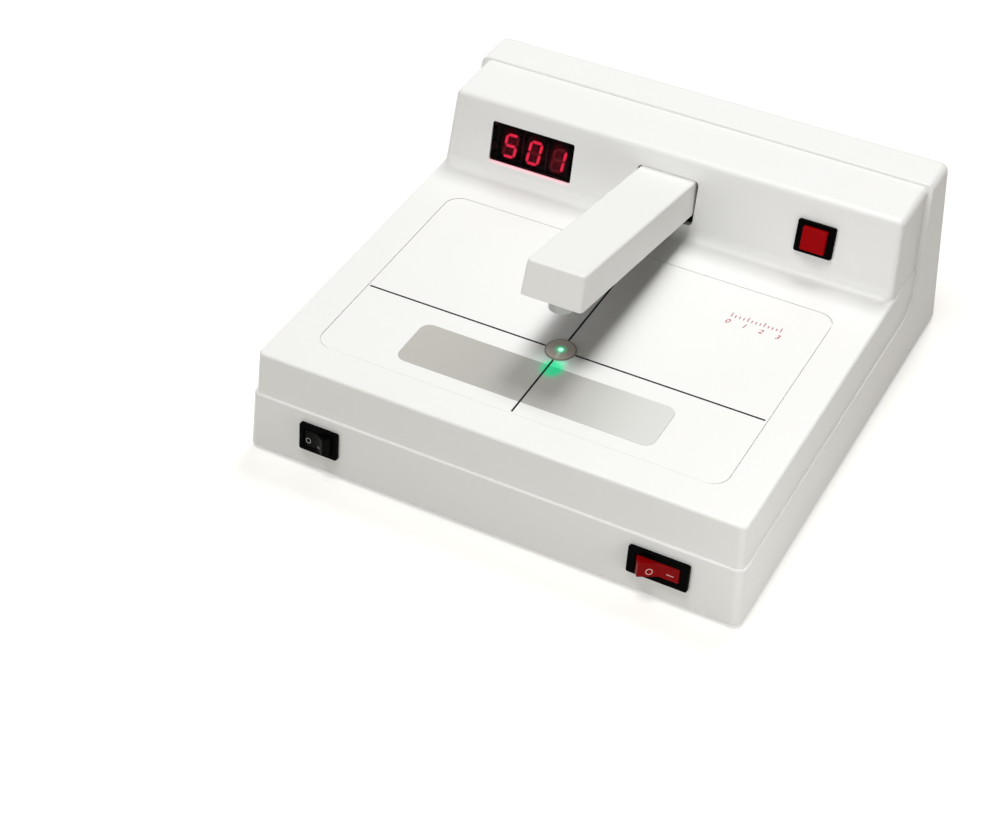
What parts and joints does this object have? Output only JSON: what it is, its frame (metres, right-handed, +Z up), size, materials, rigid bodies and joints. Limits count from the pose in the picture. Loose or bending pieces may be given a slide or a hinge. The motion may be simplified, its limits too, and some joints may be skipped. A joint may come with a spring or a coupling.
{
  "type": "photographic densitometer",
  "caption": "Desk densitometer for film: a lit viewing deck, a sprung detector arm with a nozzle over a lit aperture, a red digital display, a push-button and rocker switches.",
  "frame": {"origin": "middle of the footprint between the front-most and rear-most points, on the surface that the feet stand on", "axes": "+X to the right seen from the front, +Y to the back, +Z up"},
  "size_m": [0.2438, 0.2486, 0.102],
  "materials": {
    "case_plastic": "fine-grained moulded",
    "arm_plastic": "fine-grained moulded",
    "sheet_film": "satin printed film",
    "window_film": "satin translucent film",
    "line_ink": "printed",
    "mark_ink": "printed",
    "diffuser": "opal",
    "light_box": "smooth",
    "circuit_board": "solder mask",
    "board_component": "moulded",
    "led_body": "clear epoxy",
    "green_led": "tinted epoxy",
    "disc": "satin",
    "aperture_lens": "polished",
    "light_pipe": "polished",
    "post_plastic": "moulded",
    "nozzle_plastic": "satin",
    "lens_glass": "polished",
    "photodiode_can": "plated",
    "steel": "zinc plated",
    "ground_steel": "ground",
    "spring_steel": "drawn",
    "bracket_steel": "zinc plated sheet",
    "hub_metal": "milled",
    "bush_plastic": "acetal",
    "rubber": "matte",
    "display_window": "tinted, polished",
    "display_body": "moulded",
    "lit_segment": "lit",
    "dim_segment": "unlit",
    "black_plastic": "satin",
    "button_red": "satin",
    "rocker_black": "satin",
    "rocker_red": "translucent, polished",
    "brass": "plated",
    "core_steel": "laminated",
    "winding": "taped"
  },
  "bodies": {
    "chassis": {"base_shell": "case_plastic", "top_shell": "case_plastic", "feet": "rubber", "case_screws": "steel", "overlay_sheet": "sheet_film", "viewing_window": "window_film", "printed_lines": "line_ink", "deck_marks": "mark_ink", "diffuser_plate": "diffuser", "light_box": "light_box", "strip_board": "circuit_board", "strip_leds": "led_body", "aperture_disc": "disc", "aperture_lens": "aperture_lens", "light_pipe": "light_pipe", "green_led": "green_led", "led_board": "circuit_board", "led_board_posts": "post_plastic", "arm_spring": "spring_steel", "hinge_bracket": "bracket_steel", "bracket_screws": "steel", "tail_stop": "rubber", "display_window": "display_window", "display_modules": "display_body", "lit_segments": "lit_segment", "dim_segments": "dim_segment", "display_board": "circuit_board", "display_screws": "steel", "button_housing": "black_plastic", "button_spring": "spring_steel", "black_switch_housing": "black_plastic", "red_switch_housing": "black_plastic", "switch_terminals": "brass", "inlet_body": "black_plastic", "inlet_pins": "brass", "inlet_screws": "steel", "transformer_core": "core_steel", "transformer_winding": "winding", "main_board": "circuit_board", "board_parts": "board_component", "board_screws": "steel"},
    "arm": {"arm_cover": "arm_plastic", "arm_base": "post_plastic", "arm_screws": "steel", "nozzle": "nozzle_plastic", "nozzle_lens": "lens_glass", "photodiode": "photodiode_can", "sensor_board": "circuit_board", "pivot_block": "hub_metal", "hinge_pin": "ground_steel", "hinge_bushes": "bush_plastic", "retaining_rings": "spring_steel"},
    "push_button": {"button_cap": "button_red"},
    "black_rocker": {"black_paddle": "rocker_black"},
    "red_rocker": {"red_paddle": "rocker_red"}
  },
  "joints": [
    {"name": "arm_pivot", "type": "hinge", "parent": "chassis", "child": "arm", "pos_m": [0, 0.0726, 0.0677], "axis": [1, 0, 0], "range_deg": [0, 11.3], "stiffness_Nm_per_rad": 0.4, "springref_deg": -17.19, "deforming": ["arm_spring"]},
    {"name": "button_press", "type": "slide", "parent": "chassis", "child": "push_button", "axis": [0, 0.9703, -0.2419], "range_m": [0, 0.002], "stiffness_N_per_m": 400, "springref_m": -0.003, "deforming": ["button_spring"]},
    {"name": "black_rock", "type": "hinge", "parent": "chassis", "child": "black_rocker", "pos_m": [-0.084, -0.11628, 0.01803], "axis": [0, 0.1392, 0.9903], "range_deg": [0, 34]},
    {"name": "red_rock", "type": "hinge", "parent": "chassis", "child": "red_rocker", "pos_m": [0.08345, -0.11628, 0.01803], "axis": [0, 0.1392, 0.9903], "range_deg": [-34, 0]}
  ]
}
